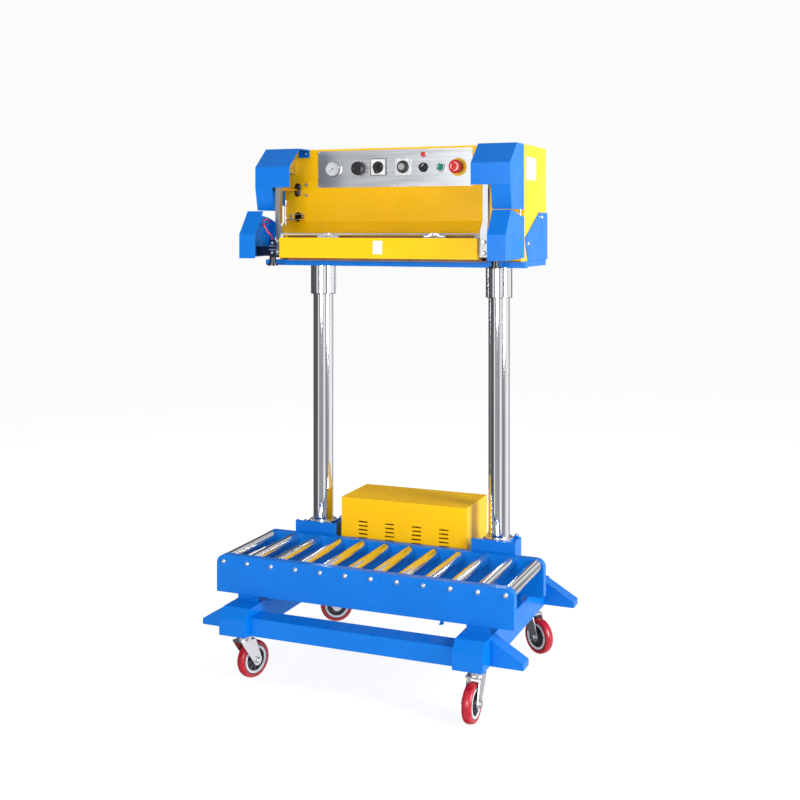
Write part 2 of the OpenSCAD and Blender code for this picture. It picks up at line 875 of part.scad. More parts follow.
// Swinging arms: hub on the pivot pin, lever to the clevis, bar and foot down to the jaw
module jaw_arms() {
  color([0.55, 0.57, 0.6]) both_sides() {
    difference() {
      union() {
        rod_x([arm_in, pivot_y, pivot_z], 16, lever_out - arm_in);
        side_plate(lever_in, lever_out,
                   [[pivot_y - 13, pivot_z], [pin_y - 11, pin_z - 12],
                    [pin_y + 11, pin_z - 12], [pivot_y + 13, pivot_z]]);
        block([arm_in, arm_front, pivot_z - 38], [arm_out, pivot_y, pivot_z - 10]);
        block([arm_in, arm_front, 1552], [arm_out, arm_back, pivot_z - 20]);
        front_plate(arm_front, arm_front + 5,
                    [[arm_in, 1560], [jaw_x, 1514], [foot_out, 1514], [arm_out, 1560]]);
        block([jaw_x, arm_front, guard_z + 7], [foot_out, arm_front + 5, 1514 + EPS]);
      }
      rod_x([arm_in - 1, pivot_y, pivot_z], pivot_r + run_fit, lever_out - arm_in + 2);
      block([lever_in - 1, pin_y - pin_r - lever_slack, pin_z - pin_r - lever_slack],
            [lever_out + 1, pin_y + pin_r + lever_slack, pin_z + pin_r + lever_slack]);
    }
    for (z = [1452, 1490]) rod_y([381, arm_front - 7, z], 6.5, 7);
  }
}

// Guard: shallow channel, open towards the sealing bar
module jaw_guard() {
  color(yellow)
    difference() {
      block([-jaw_x, guard_front, guard_z], [jaw_x, guard_front + guard_depth, guard_top]);
      block([-jaw_x + guard_t, guard_front + guard_t, guard_z + guard_t],
            [jaw_x - guard_t, guard_front + guard_depth + 1, guard_top - guard_t]);
    }
}

// Bar with a silicone face: made where it closes on the rear jaw, then swung open
module sealing_bar() {
  face = rear_jaw_front - pad_gap;
  color([0.62, 0.36, 0.2]) {
    swing_open() block([-jaw_x + 8, face - bar_t, bar_z0], [jaw_x - 8, face, bar_z1]);
    for (x = [-250, 0, 250])
      rod_y([x, guard_front + guard_t, (bar_z0 + bar_z1) / 2], 6, 14);
  }
}

module swing_open() {
  translate([0, pivot_y, pivot_z]) rotate([-jaw_swing, 0, 0])
    translate([0, -pivot_y, -pivot_z]) children();
}

// Folded cover over the lower end of a jaw arm, open inside
module lower_cover_right() {
  w = sheet_t;
  color(blue) {
    side_plate(lc_out - w, lc_out,
               [[lc_top_y, lc_top_z], [lc_rear_y, lc_rear_top], [lc_rear_y, lc_rear_low],
                [lc_fold_y, lc_low_z], [lc_fold_y, lc_fold_z]]);
    side_plate(lc_in, lc_out,
               [[lc_fold_y, lc_low_z], [lc_fold_y, lc_fold_z], [lc_top_y, lc_top_z],
                [lc_top_y + w * 1.3, lc_top_z - 0.5], [lc_fold_y + w, lc_fold_z - 0.8],
                [lc_fold_y + w, lc_low_z]]);
    // rear flange, folded inwards
    front_plate(lc_rear_y - w, lc_rear_y,
                [[lc_out, lc_rear_top], [lc_out - 26, lc_rear_top - 14],
                 [lc_out - 30, lc_rear_top - 60], [lc_out - 12, lc_rear_low + 20],
                 [lc_out, lc_rear_low]]);
  }
}

module lower_cover_left() {
  mirror([1, 0, 0]) lower_cover_right();
}

// Bar over the guard that clamps the fabric strip, with two clips
module clamp_rod() {
  z = guard_top + 12;
  y = guard_front + 14;
  color(chrome) {
    rod_x([-jaw_x, y, z], 4, jaw_len);
    for (x = [-179, 213])
      block([x - 41, y - 7, guard_top], [x + 41, y + 7, guard_top + 9]);
    both_sides() block([jaw_x - 12, y - 6, guard_top], [jaw_x, y + 6, z]);
  }
}

// Insulating terminal block and bump stop at each end of the jaw
module jaw_end_blocks() {
  y = arm_front + 5;
  color(dark) both_sides() {
    block([388, y, 1432], [420, y + 24, 1494]);
    block([420 - EPS, y + 18, 1436], [lc_out - sheet_t, y + 22, 1470]);
    translate([413, y + 12, 1402]) cylinder(r = 19, h = 8);
    translate([413, y + 12, 1410]) cylinder(r = 12, h = 22);
  }
}

// Route of the heater leads in the left cover, from the terminal block up and back
// Each lead's way out of its block, measured from the hood's face
lead_route = [[-412, -184.25, 1494.2], [-412, -184.25, 1501], [-414, -192.25, 1511],
              [-420, -206.25, 1524], [-427, -214.25, 1542], [-432, -212.25, 1558],
              [-432, -200.25, 1566], [-433, -182.25, 1566], [-438, -162.25, 1561],
              [-448, -146.25, 1555], [-463, -136.25, 1550], [-474, -132.25, 1547.5],
              [-481, -132.25, 1545]];
lead_points = [for (p = lead_route) [p[0], hood_face + p[1], p[2]]];
lead_r = 2.5;
lead_sides = 8;

function unit(v) = v / norm(v);
function direction(p, i) = unit(p[min(i + 1, len(p) - 1)] - p[max(i - 1, 0)]);
function ring(c, d, r, n) =
  let (u = unit(cross(d, [1, 0, 0])), v = cross(d, u))
  [for (k = [0 : n - 1]) c + r * (cos(360 * k / n) * u + sin(360 * k / n) * v)];

// Tube of radius r swept along points p, in the machine's own Y frame
module swept_tube(p, r, n) {
  m = len(p);
  points = [for (i = [0 : m - 1]) each ring(p[i], direction(p, i), r, n)];
  lower = [for (i = [0 : m - 2], k = [0 : n - 1])
           [i * n + k, i * n + (k + 1) % n, (i + 1) * n + (k + 1) % n]];
  upper = [for (i = [0 : m - 2], k = [0 : n - 1])
           [i * n + k, (i + 1) * n + (k + 1) % n, (i + 1) * n + k]];
  first = [for (k = [n - 1 : -1 : 0]) k];
  last = [for (k = [0 : n - 1]) (m - 1) * n + k];
  polyhedron(points = points, faces = concat(lower, upper, [first, last]), convexity = 4);
}

module heater_leads() {
  color(red) swept_tube(lead_points, lead_r, lead_sides);
}

// ---------- controls that move ----------

module gauge_needle() {
  f = panel_face - 10;
  color(dark) {
    rod_y([gauge_x, f, row_z], 2.5, 2);
    translate([gauge_x, f + 0.4, row_z]) rotate([0, 45, 0])
      translate([-0.8, 0, -5]) cube([1.6, 1, 24]);
  }
}

module regulator_knob() {
  f = panel_face - 5 - 0.3;
  color(dark) {
    rod_y([regulator_x, f - 20, row_z], regulator_d / 2, 20);
    rod_y([regulator_x, f - 25, row_z], regulator_d / 2 - 5, 5);
  }
}

module cam_switch_handle() {
  f = panel_face - 8 - 0.3;
  z = row_z + 4;
  color(dark) {
    rod_y([cam_x, f - 10, z], 17, 10);
    block([cam_x - 6, f - 22, z - 24], [cam_x + 6, f - 10, z + 13]);
  }
}

module dial_knob() {
  f = panel_face - 9 - 0.3;
  color([0.6, 0.6, 0.62]) {
    rod_y([dial_x, f - 4, row_z + 3], 18, 4);
    rod_y([dial_x, f - 16, row_z + 3], 12, 12);
  }
}

module selector_knob() {
  f = panel_face - 5 - 0.3;
  color(dark) {
    rod_y([selector_x, f - 10, row_z], 15, 10);
    translate([selector_x, f - 18, row_z]) rotate([0, 35, 0])
      translate([-4, 0, -13]) cube([8, 9, 27]);
  }
}

module start_button() {
  color([0.05, 0.45, 0.3]) rod_y([start_x, panel_face - 13, row_z], button_d / 2, 10);
}

module stop_button() {
  f = panel_face - 6;
  color(red) {
    rod_y([stop_x, f - 18, row_z - 1], stop_stem_r, 12);
    rod_y([stop_x, f - 30, row_z - 1], stop_d / 2, 12);
    rod_y([stop_x, f - 34, row_z - 1], stop_d / 2 - 4, 4);
  }
}

// ---------- the nodes ----------

side_leg_left();
side_leg_right();
cross_tubes();
table_front_beam();
table_rear_beam();
roller_shafts();
column_sockets();
columns();
cabinet_cover();
cabinet_transformer();
castor_plates();
castor_fork_front_left();
castor_fork_front_right();
castor_fork_rear_left();
castor_fork_rear_right();
castor_wheel_front_left();
castor_wheel_front_right();
castor_wheel_rear_left();
castor_wheel_rear_right();
roller_01();
roller_02();
roller_03();
roller_04();
roller_05();
roller_06();
roller_07();
roller_08();
roller_09();
roller_10();
roller_11();
roller_12();
head_tray();
hood_shell();
hood_back_cover();
column_sleeves();
side_brackets();
control_panel();
shoulder_cover_left();
shoulder_cover_right();
rear_jaw();
jaw_hangers();
head_screws();
instrument_bases();
air_cylinders();
cylinder_rods();
jaw_arms();
jaw_guard();
sealing_bar();
lower_cover_left();
lower_cover_right();
clamp_rod();
jaw_end_blocks();
heater_leads();
gauge_needle();
regulator_knob();
cam_switch_handle();
dial_knob();
selector_knob();
start_button();
stop_button();
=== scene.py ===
"""Looks of the pneumatic jaw bag sealer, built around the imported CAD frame."""
import json
import math

import bmesh
import bpy
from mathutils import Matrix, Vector


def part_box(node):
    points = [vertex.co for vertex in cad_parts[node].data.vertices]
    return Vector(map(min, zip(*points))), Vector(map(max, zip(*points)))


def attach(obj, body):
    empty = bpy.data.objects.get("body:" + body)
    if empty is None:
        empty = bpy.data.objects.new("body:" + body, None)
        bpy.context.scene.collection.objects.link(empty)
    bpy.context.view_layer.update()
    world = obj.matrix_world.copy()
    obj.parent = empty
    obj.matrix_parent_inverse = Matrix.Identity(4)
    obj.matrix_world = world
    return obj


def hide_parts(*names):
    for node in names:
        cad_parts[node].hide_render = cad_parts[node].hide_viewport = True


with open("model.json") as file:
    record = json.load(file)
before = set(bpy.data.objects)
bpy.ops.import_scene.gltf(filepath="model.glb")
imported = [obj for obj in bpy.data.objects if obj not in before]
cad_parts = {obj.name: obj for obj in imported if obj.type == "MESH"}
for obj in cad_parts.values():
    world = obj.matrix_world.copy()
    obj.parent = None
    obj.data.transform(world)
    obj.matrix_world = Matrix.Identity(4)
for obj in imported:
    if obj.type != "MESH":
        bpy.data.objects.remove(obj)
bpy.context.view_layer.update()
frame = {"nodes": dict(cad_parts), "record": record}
NODES = frame["nodes"]
JOINTS = {j["name"]: j for j in frame["record"]["behaviour"]["joints"]}
MM = 0.001


def mm(*v):
    return Vector([x * MM for x in v])


# ---------------------------------------------------------------- materials

class Nodes:
    """A material's node tree, with its Principled shader."""

    def __init__(self, name):
        self.mat = bpy.data.materials.new(name)
        self.mat.use_nodes = True
        self.tree = self.mat.node_tree
        self.bsdf = self.tree.nodes["Principled BSDF"]
        self.coord = self.tree.nodes.new("ShaderNodeTexCoord").outputs["Object"]

    def add(self, kind, **inputs):
        n = self.tree.nodes.new(kind)
        for k, v in inputs.items():
            n.inputs[k.replace("_", " ")].default_value = v
        return n

    def link(self, a, b):
        self.tree.links.new(a, b)

    def mapped(self, scale):
        m = self.add("ShaderNodeMapping")
        m.inputs["Scale"].default_value = scale
        self.link(self.coord, m.inputs["Vector"])
        return m.outputs["Vector"]

    def noise(self, scale, detail=3.0, stretch=(1, 1, 1), rough=0.5):
        n = self.add("ShaderNodeTexNoise", Scale=scale, Detail=detail, Roughness=rough)
        self.link(self.mapped(stretch), n.inputs["Vector"])
        return n.outputs["Fac"]

    def ramp(self, fac, stops):
        r = self.tree.nodes.new("ShaderNodeValToRGB")
        el = r.color_ramp.elements
        while len(el) < len(stops):
            el.new(0.5)
        for e, (pos, col) in zip(el, stops):
            e.position = pos
            e.color = (*col, 1)
        self.link(fac, r.inputs["Fac"])
        return r.outputs["Color"]

    def span(self, fac, lo, hi, a=0.3, b=0.7):
        m = self.add("ShaderNodeMapRange")
        for k, v in (("From Min", a), ("From Max", b), ("To Min", lo), ("To Max", hi)):
            m.inputs[k].default_value = v
        self.link(fac, m.inputs["Value"])
        return m.outputs["Result"]

    def bump(self, height, strength, distance=0.0005):
        b = self.add("ShaderNodeBump", Strength=strength, Distance=distance)
        self.link(height, b.inputs["Height"])
        self.link(b.outputs["Normal"], self.bsdf.inputs["Normal"])

    def put(self, **values):
        for k, v in values.items():
            s = self.bsdf.inputs[k.replace("_", " ")]
            if hasattr(v, "links") or hasattr(v, "is_linked"):
                self.link(v, s)
            else:
                s.default_value = v


def shade(c, k):
    return tuple(min(1.0, x * k) for x in c)


def paint(name, col, rough=0.30, vary=0.04):
    """Powder coat: slight orange peel, cloudy colour and a clear gloss."""
    n = Nodes(name)
    cloud = n.noise(5.0, 4.0)
    n.put(Base_Color=n.ramp(cloud, [(0.3, shade(col, 1 - vary)), (0.7, shade(col, 1 + vary))]),
          Roughness=n.span(n.noise(14.0, 3.0), rough - 0.05, rough + 0.07),
          Specular_IOR_Level=0.20)
    n.bump(n.noise(420.0, 2.0), 0.05, 0.0003)
    return n.mat


def metal(name, col, lo, hi, stretch, scale=60.0, strength=0.08):
    """Bare or plated metal with a grain along its least stretched direction."""
    n = Nodes(name)
    grain = n.noise(scale, 4.0, stretch)
    n.put(Base_Color=n.ramp(grain, [(0.3, shade(col, 0.92)), (0.7, shade(col, 1.05))]),
          Metallic=1.0, Roughness=n.span(grain, lo, hi))
    n.bump(grain, strength, 0.0002)
    return n.mat


def plastic(name, col, rough=0.3, grain=900.0, strength=0.06):
    n = Nodes(name)
    n.put(Base_Color=n.ramp(n.noise(30.0, 3.0), [(0.3, shade(col, 0.93)), (0.7, shade(col, 1.06))]),
          Roughness=n.span(n.noise(40.0, 2.0), rough - 0.04, rough + 0.05))
    n.bump(n.noise(grain, 2.0), strength, 0.0002)
    return n.mat


def cloth(name, col):
    """Fine glass-fibre weave in PTFE."""
    n = Nodes(name)
    wx = n.add("ShaderNodeTexWave", Scale=260.0, Distortion=0.3)
    wx.bands_direction = "X"
    wz = n.add("ShaderNodeTexWave", Scale=260.0, Distortion=0.3)
    wz.bands_direction = "Z"
    for w in (wx, wz):
        n.link(n.coord, w.inputs["Vector"])
    mix = n.tree.nodes.new("ShaderNodeMath")
    mix.operation = "MULTIPLY"
    n.link(wx.outputs["Fac"], mix.inputs[0])
    n.link(wz.outputs["Fac"], mix.inputs[1])
    n.put(Base_Color=n.ramp(n.noise(12.0), [(0.3, shade(col, 0.8)), (0.7, shade(col, 1.2))]),
          Roughness=0.42, Sheen_Weight=0.1)
    n.bump(mix.outputs["Value"], 0.25, 0.0003)
    return n.mat


def rubber(name, col):
    """Cast polyurethane with a soft shine and faint scuffs."""
    n = Nodes(name)
    scuff = n.noise(90.0, 5.0)
    n.put(Base_Color=n.ramp(scuff, [(0.35, shade(col, 0.8)), (0.65, shade(col, 1.1))]),
          Roughness=n.span(scuff, 0.22, 0.42), Coat_Weight=0.25, Coat_Roughness=0.2)
    n.bump(scuff, 0.08, 0.0003)
    return n.mat


def glass(name):
    n = Nodes(name)
    n.put(Base_Color=(1, 1, 1, 1), Roughness=n.span(n.noise(20.0), 0.01, 0.04),
          Alpha=0.12, IOR=1.45)
    return n.mat


BLUE = paint("blue_paint", (0.0, 0.150, 0.58))
YELLOW = paint("yellow_paint", (0.92, 0.50, 0.002), 0.28)
CHROME = metal("chrome", (0.82, 0.83, 0.85), 0.04, 0.10, (1, 1, 0.06), 25.0, 0.02)
ROLLER = metal("roller_chrome", (0.74, 0.75, 0.77), 0.10, 0.20, (1, 0.05, 1), 40.0, 0.05)
PANEL = metal("panel_steel", (0.58, 0.60, 0.62), 0.27, 0.35, (0.03, 1, 1), 130.0, 0.04)
STEEL = metal("steel", (0.78, 0.78, 0.80), 0.24, 0.38, (1, 1, 1), 60.0)
ZINC = metal("zinc", (0.76, 0.77, 0.79), 0.22, 0.38, (1, 1, 0.5), 45.0)
ARM = metal("arm_steel", (0.36, 0.37, 0.39), 0.26, 0.40, (1, 1, 0.06), 70.0)
BRASS = metal("brass", (0.80, 0.60, 0.28), 0.15, 0.3, (1, 0.1, 1), 40.0)
PTFE = cloth("ptfe_cloth", (0.20, 0.09, 0.035))
BLACK = plastic("black_gloss", (0.008, 0.008, 0.010), 0.26)
MATTE = plastic("black_matte", (0.014, 0.014, 0.016), 0.45, 700.0, 0.2)
GREY = plastic("grey_plastic", (0.36, 0.36, 0.37), 0.4)
HUB = plastic("hub_dark", (0.045, 0.047, 0.052), 0.32)
RIM = plastic("hub_rim", (0.60, 0.61, 0.63), 0.35)
WHITE = plastic("white_plastic", (0.82, 0.83, 0.83), 0.4)
DIAL = plastic("gauge_dial", (0.58, 0.60, 0.61), 0.4)
RED = plastic("red_gloss", (0.68, 0.012, 0.012), 0.2)
GREEN = plastic("green_gloss", (0.01, 0.22, 0.12), 0.2)
AMBER = plastic("yellow_disc", (0.85, 0.52, 0.01), 0.35)
TYRE = rubber("red_polyurethane", (0.42, 0.004, 0.016))
LEAD = rubber("red_silicone", (0.62, 0.015, 0.015))
CORE = plastic("core_steel", (0.10, 0.10, 0.10), 0.6, 200.0, 0.2)
GLASS = glass("clear_glass")


# ---------------------------------------------------------------- pieces

class Shape:
    """Collects simple solids into one mesh piece."""

    def __init__(self):
        self.bm = bmesh.new()

    def faces(self, verts, faces):
        vs = [self.bm.verts.new(v) for v in verts]
        for f in faces:
            self.bm.faces.new([vs[i] for i in f])

    def lathe(self, profile, at, axis, seg=48):
        """Turns a profile of (radius, distance along axis) points round the axis."""
        rot = Vector((0, 0, 1)).rotation_difference(Vector(axis)).to_matrix()
        rings = []
        for r, h in profile:
            if r < 1e-6:
                rings.append([self.bm.verts.new(Vector(at) + rot @ Vector((0, 0, h)))])
                continue
            rings.append([self.bm.verts.new(Vector(at) + rot @ Vector(
                (r * math.cos(2 * math.pi * k / seg), r * math.sin(2 * math.pi * k / seg), h)))
                for k in range(seg)])
        for a, b in zip(rings, rings[1:]):
            for k in range(seg):
                j = (k + 1) % seg
                if len(a) == 1 and len(b) == 1:
                    continue
                if len(a) == 1:
                    self.bm.faces.new([a[0], b[k], b[j]])
                elif len(b) == 1:
                    self.bm.faces.new([a[k], b[0], a[j]])
                else:
                    self.bm.faces.new([a[k], b[k], b[j], a[j]])
        return self

    def ringed(self, profile, at, axis, seg=48):
        """A lathe whose profile is closed on itself."""
        return self.lathe(list(profile) + [profile[0]], at, axis, seg)

    def prism(self, outline, lo, hi, plane="xz"):
        """Extrudes an outline in plane from lo to hi along the third axis."""
        place = {"xz": lambda a, b, c: (a, c, b), "yz": lambda a, b, c: (c, a, b),
                 "xy": lambda a, b, c: (a, b, c)}[plane]
        n = len(outline)
        verts = [place(a, b, c) for c in (lo, hi) for a, b in outline]
        self.faces(verts, [list(range(n)), list(range(2 * n - 1, n - 1, -1))]
                   + [[i, i + n, (i + 1) % n + n, (i + 1) % n] for i in range(n)])
        return self

    def block(self, lo, hi):
        return self.prism([(lo[0], lo[1]), (hi[0], lo[1]), (hi[0], hi[1]), (lo[0], hi[1])],
                          lo[2], hi[2], "xy")

    def hexagon(self, at, axis, r, h, turn=0.0):
        """A hexagonal head with a chamfered top and a short threaded end."""
        self.lathe([(0, 0), (r, 0), (r, h * 0.8), (r * 0.84, h), (0, h)], at, axis, 6)
        end = Vector(at) + Vector(axis).normalized() * h
        self.lathe([(r * 0.5, -h * 0.1), (r * 0.5, h * 0.18), (0, h * 0.28)], end, axis, 16)
        return self

    def dome(self, at, axis, r, h):
        """A washer with a domed socket head on it."""
        self.lathe([(0, 0), (r, 0), (r, h * 0.22), (r * 0.82, h * 0.25), (r * 0.80, h * 0.5),
                    (r * 0.62, h * 0.85), (r * 0.36, h), (r * 0.34, h * 0.6), (0, h * 0.55)],
                   at, axis, 32)
        return self

    def tube(self, points, r, seg=12):
        """A round tube through points, smoothed with Catmull-Rom."""
        p = [Vector(q) for q in points]
        path = []
        for i in range(len(p) - 1):
            a, b, c, d = p[max(i - 1, 0)], p[i], p[i + 1], p[min(i + 2, len(p) - 1)]
            for s in range(6):
                t = s / 6
                path.append(0.5 * ((2 * b) + (c - a) * t + (2 * a - 5 * b + 4 * c - d) * t * t
                                   + (3 * b - a - 3 * c + d) * t ** 3))
        path.append(p[-1])
        rings = []
        up = Vector((0.3, 0.2, 1)).normalized()
        for i, q in enumerate(path):
            d = (path[min(i + 1, len(path) - 1)] - path[max(i - 1, 0)]).normalized()
            u = d.cross(up).normalized()
            v = d.cross(u)
            up = u.cross(d)
            rings.append([self.bm.verts.new(q + r * (math.cos(2 * math.pi * k / seg) * u
                                                     + math.sin(2 * math.pi * k / seg) * v))
                          for k in range(seg)])
        for a, b in zip(rings, rings[1:]):
            for k in range(seg):
                j = (k + 1) % seg
                self.bm.faces.new([a[k], b[k], b[j], a[j]])
        self.bm.faces.new(rings[0][::-1])
        self.bm.faces.new(rings[-1])
        return self

    def piece(self, name, mat, body, bevel=0.0, slot=None, replaces=()):
        bmesh.ops.recalc_face_normals(self.bm, faces=self.bm.faces)
        me = bpy.data.meshes.new(name)
        self.bm.to_mesh(me)
        self.bm.free()
        ob = bpy.data.objects.new(name, me)
        bpy.context.scene.collection.objects.link(ob)
        me.materials.append(mat)
        finish_edges(ob, bevel)
        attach(ob, body)
        if replaces:
            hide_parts(*replaces)
        return ob


def finish_edges(ob, bevel):
    """Smooth shading with sharp creases, and a small round on them."""
    me = ob.data
    for p in me.polygons:
        p.use_smooth = True
    if bevel:
        b = ob.modifiers.new("edge", "BEVEL")
        b.width = bevel
        b.segments = 2
        b.limit_method = "ANGLE"
        b.angle_limit = math.radians(35)
        b.harden_normals = True
        b.use_clamp_overlap = True
    else:
        me.set_sharp_from_angle(angle=math.radians(35))


# ---------------------------------------------------------------- CAD nodes

LOOKS = {
    BLUE: ["side_leg_left", "side_leg_right", "cross_tubes", "table_front_beam",
           "table_rear_beam", "column_sockets", "head_tray", "side_brackets",
           "shoulder_cover_left", "shoulder_cover_right", "lower_cover_left",
           "lower_cover_right"],
    YELLOW: ["cabinet_cover", "hood_shell", "hood_back_cover", "jaw_guard"],
    CHROME: ["columns", "column_sleeves", "clamp_rod"],
    BRASS: ["cylinder_rods"],
    PANEL: ["control_panel"],
    STEEL: ["jaw_hangers", "head_screws", "air_cylinders"],
    ZINC: ["castor_plates", "castor_fork_front_left", "castor_fork_front_right",
           "castor_fork_rear_left", "castor_fork_rear_right"],
    ARM: ["jaw_arms"],
    PTFE: ["rear_jaw", "sealing_bar"],
    BLACK: ["jaw_end_blocks"],
    CORE: ["cabinet_transformer"],
    ROLLER: ["roller_%02d" % i for i in range(1, 13)],
}
for mat, names in LOOKS.items():
    for name in names:
        ob = NODES[name]
        if not ob.material_slots:
            ob.data.materials.append(mat)
        for s in ob.material_slots:
            s.material = mat

for mat, names in LOOKS.items():
    for name in names:
        finish_edges(NODES[name], 0.0012 if mat in (BLUE, YELLOW) else 0.0)

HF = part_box("control_panel")[1][1]
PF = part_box("control_panel")[0][1]
OUT = (0, -1, 0)


# ---------------------------------------------------------------- castors

TYRE_R = 0.0625
RIM_R = 0.0490
for key in ("front_left", "front_right", "rear_left", "rear_right"):
    spin = JOINTS["spin_" + key]
    at, axis = Vector(spin["pos_m"]), Vector(spin["axis"])
    body = "wheel_" + key
    tread = [(RIM_R, -0.0150), (0.0520, -0.0160), (0.0560, -0.0158), (0.0595, -0.0135),
             (0.0615, -0.0095), (0.0624, -0.0045), (TYRE_R, 0.0), (0.0624, 0.0045),
             (0.0615, 0.0095), (0.0595, 0.0135), (0.0560, 0.0158), (0.0520, 0.0160),
             (RIM_R, 0.0150)]
    Shape().ringed(tread, at, axis, 96).piece("tyre_" + key, TYRE, body, slot="red_polyurethane",
                                              replaces=["castor_wheel_" + key])
    hub = Shape()
    hub.ringed([(0.0063, -0.0185), (0.0160, -0.0185), (0.0175, -0.0170), (0.0185, -0.0085),
                (0.0340, -0.0065), (0.0355, -0.0125), (0.0400, -0.0145), (0.0485, -0.0148),
                (0.0492, -0.0140), (0.0492, 0.0140), (0.0485, 0.0148), (0.0400, 0.0145),
                (0.0355, 0.0125), (0.0340, 0.0065), (0.0185, 0.0085), (0.0175, 0.0170),
                (0.0160, 0.0185), (0.0063, 0.0185)], at, axis, 64)
    side = axis.orthogonal().normalized()
    across = axis.cross(side)
    for k in range(8):
        a = 2 * math.pi * k / 8
        u = math.cos(a) * side + math.sin(a) * across
        v = u.cross(axis).normalized() * 0.0016
        verts = []
        for end in (0.017, 0.0375):
            for s in (-1, 1):
                for w in (-1, 1):
                    verts.append(at + u * end + v * s + axis * (w * (0.0150 - end * 0.08)))
        hub.faces(verts, [(0, 1, 3, 2), (4, 6, 7, 5), (0, 4, 5, 1), (2, 3, 7, 6), (0, 2, 6, 4),
                          (1, 5, 7, 3)])
    hub.piece("hub_" + key, HUB, body)
    rims = Shape()
    for s in (-1, 1):
        rims.ringed([(0.0370, 0.0125), (0.0390, 0.0152), (0.0455, 0.0156), (0.0465, 0.0142),
                     (0.0465, 0.0125)], at, axis * s, 64)
    rims.piece("rim_" + key, RIM, body)
    fork = "fork_" + key
    swivel = Vector(JOINTS["swivel_" + key]["pos_m"])
    trim = Shape()
    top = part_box("castor_fork_" + key)[1][2]
    trim.ringed([(0.020, -0.0105), (0.0285, -0.0095), (0.0305, -0.006), (0.0295, -0.002),
                 (0.024, -0.0008), (0.020, -0.0008)], (swivel.x, swivel.y, top), (0, 0, 1), 48)
    trim.hexagon((swivel.x, swivel.y, top - 0.031), (0, 0, -1), 0.011, 0.006)
    for s in (-1, 1):
        trim.lathe([(0.0095, 0.0), (0.0132, 0.0), (0.0130, 0.0018), (0.0095, 0.0024)],
                   at + axis * (s * 0.0251), axis * s, 32)
    trim.piece("race_" + key, ZINC, fork)


# ---------------------------------------------------------------- roller shafts and their heads

web_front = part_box("table_front_beam")[0][1]
web_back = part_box("table_rear_beam")[0][1] + 4 * MM
shafts = Shape()
for i in range(1, 13):
    lo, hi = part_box("roller_%02d" % i)
    x, z = (lo[0] + hi[0]) / 2, (lo[2] + hi[2]) / 2
    shafts.lathe([(0, 0), (0.0059, 0), (0.0059, web_back - web_front), (0, web_back - web_front)],
                 (x, web_front, z), (0, 1, 0), 32)
    shafts.lathe([(0.0078, 0), (0.0080, 0.0012), (0.0066, 0.0015), (0.0064, 0.0040),
                  (0.0050, 0.0062), (0.0030, 0.0068), (0, 0.0068)], (x, web_front, z), OUT, 32)
    shafts.hexagon((x, web_back, z), (0, 1, 0), 0.0078, 0.0055)
shafts.piece("shaft_bolts", STEEL, "base", slot="brushed_steel", replaces=["roller_shafts"])


# ---------------------------------------------------------------- instruments

def at(x, z, out=0.0):
    """A point in front of the panel, x and z in mm, out in mm from its face."""
    return Vector((x * MM, PF - out * MM, z * MM))


def mid(node):
    lo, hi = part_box(node)
    return [(a + b) / 2 for a, b in zip(lo, hi)]


BOX_FACES = [(0, 1, 2, 3), (7, 6, 5, 4), (0, 4, 5, 1), (1, 5, 6, 2), (2, 6, 7, 3), (3, 7, 4, 0)]


def strokes(centre, outer, marks):
    """Raised strokes pointing at the centre, each an angle in degrees, a length and half a width."""
    shape = Shape()
    for deg, length, w in marks:
        a = math.radians(deg)
        u, v = Vector((math.cos(a), 0, math.sin(a))), Vector((-math.sin(a), 0, math.cos(a)))
        pts = [centre + u * r + v * s for r, s in ((outer, w), (outer, -w), (outer - length, -w),
                                                   (outer - length, w))]
        shape.faces(pts + [p + Vector((0, -0.0002, 0)) for p in pts], BOX_FACES)
    return shape


# Pressure gauge: case, dial, strokes, glass and needle. Positions on the panel are in mm.
gx, row = -258, 1750
case = Shape()
case.lathe([(0.0285, 0), (0.0285, 0.003), (0.0275, 0.0045), (0.0275, 0.0125), (0.0265, 0.0140),
            (0.0250, 0.0140), (0.0243, 0.0128), (0.0243, 0.0075)], at(gx, row), OUT, 64)
case.piece("gauge_case", STEEL, "head", slot="brushed_steel", replaces=["instrument_bases"])
face = Shape()
face.lathe([(0, 0.0082), (0.0243, 0.0082)], at(gx, row), OUT, 64)
face.lathe([(0, 0.0078), (0.0243, 0.0078)], at(gx, row), OUT, 64)
face.piece("gauge_face", DIAL, "head")
ticks = strokes(at(gx, row, 8.3), 0.0222,
                [(225 - k * 270 / 40, 0.0050 if k % 8 == 0 else 0.0036 if k % 4 == 0 else 0.0022,
                  0.00045 if k % 8 == 0 else 0.00022) for k in range(41)])
ticks.piece("gauge_ticks", MATTE, "head")
glass_lens = Shape()
glass_lens.lathe([(0, 0.0132), (0.012, 0.0131), (0.0243, 0.0124)], at(gx, row), OUT, 48)
glass_lens.piece("gauge_glass", GLASS, "head")
needle = Shape()
c = at(gx, row, 9.2)
ang = math.radians(225)
u, v = Vector((math.cos(ang), 0, math.sin(ang))), Vector((-math.sin(ang), 0, math.cos(ang)))
pts = [c - u * 0.006 + v * 0.0011, c - u * 0.006 - v * 0.0011, c + u * 0.0185 - v * 0.0003,
       c + u * 0.0185 + v * 0.0003]
needle.faces(pts + [p + Vector((0, -0.0004, 0)) for p in pts], BOX_FACES)
needle.lathe([(0, 0.0), (0.0026, 0.0), (0.0024, 0.0016), (0, 0.0018)], at(gx, row, 8.8), OUT, 24)
needle.piece("gauge_pointer", MATTE, "gauge_needle_body", slot="black_plastic",
             replaces=["gauge_needle"])


